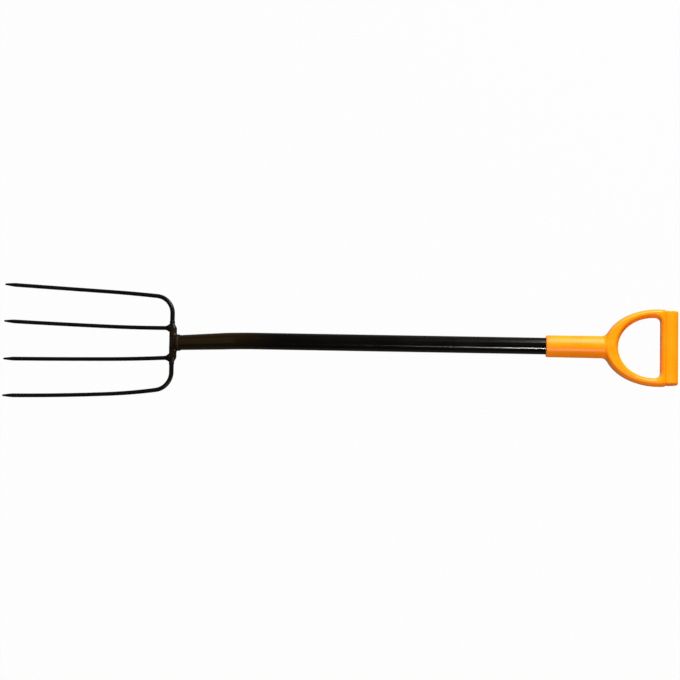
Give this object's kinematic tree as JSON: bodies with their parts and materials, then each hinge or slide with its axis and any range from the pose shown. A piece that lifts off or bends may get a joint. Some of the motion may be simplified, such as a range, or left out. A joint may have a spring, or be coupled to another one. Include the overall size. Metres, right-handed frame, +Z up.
{
  "type": "manure fork",
  "caption": "Long-handled hand fork with slim arched tines on a forged yoke, a cranked steel tube shaft and a plastic D grip; lifts and turns compost, straw and loose soil.",
  "frame": {"origin": "centre of the fork's bounding box in plan, on the floor it lies on", "axes": "+X along the shaft from the tines to the grip, +Y across the tines to the left, +Z up, out of the load side"},
  "size_m": [1.2164, 0.2082, 0.0641],
  "materials": {
    "shaft_paint": "satin black powder coat",
    "head_paint": "satin black powder coat",
    "weld_paint": "satin black powder coat over rippled weld",
    "grip_orange": "semi-gloss moulded orange",
    "screw_steel": "zinc-plated"
  },
  "bodies": {
    "root": {"shaft_tube": "shaft_paint", "yoke": "head_paint", "neck_weld": "weld_paint", "inner_tine_left": "head_paint", "inner_tine_right": "head_paint", "outer_tine_left": "head_paint", "outer_tine_right": "head_paint", "tine_welds": "weld_paint", "grip_body": "grip_orange", "grip_cap": "grip_orange", "grip_screw": "screw_steel"}
  },
  "joints": []
}
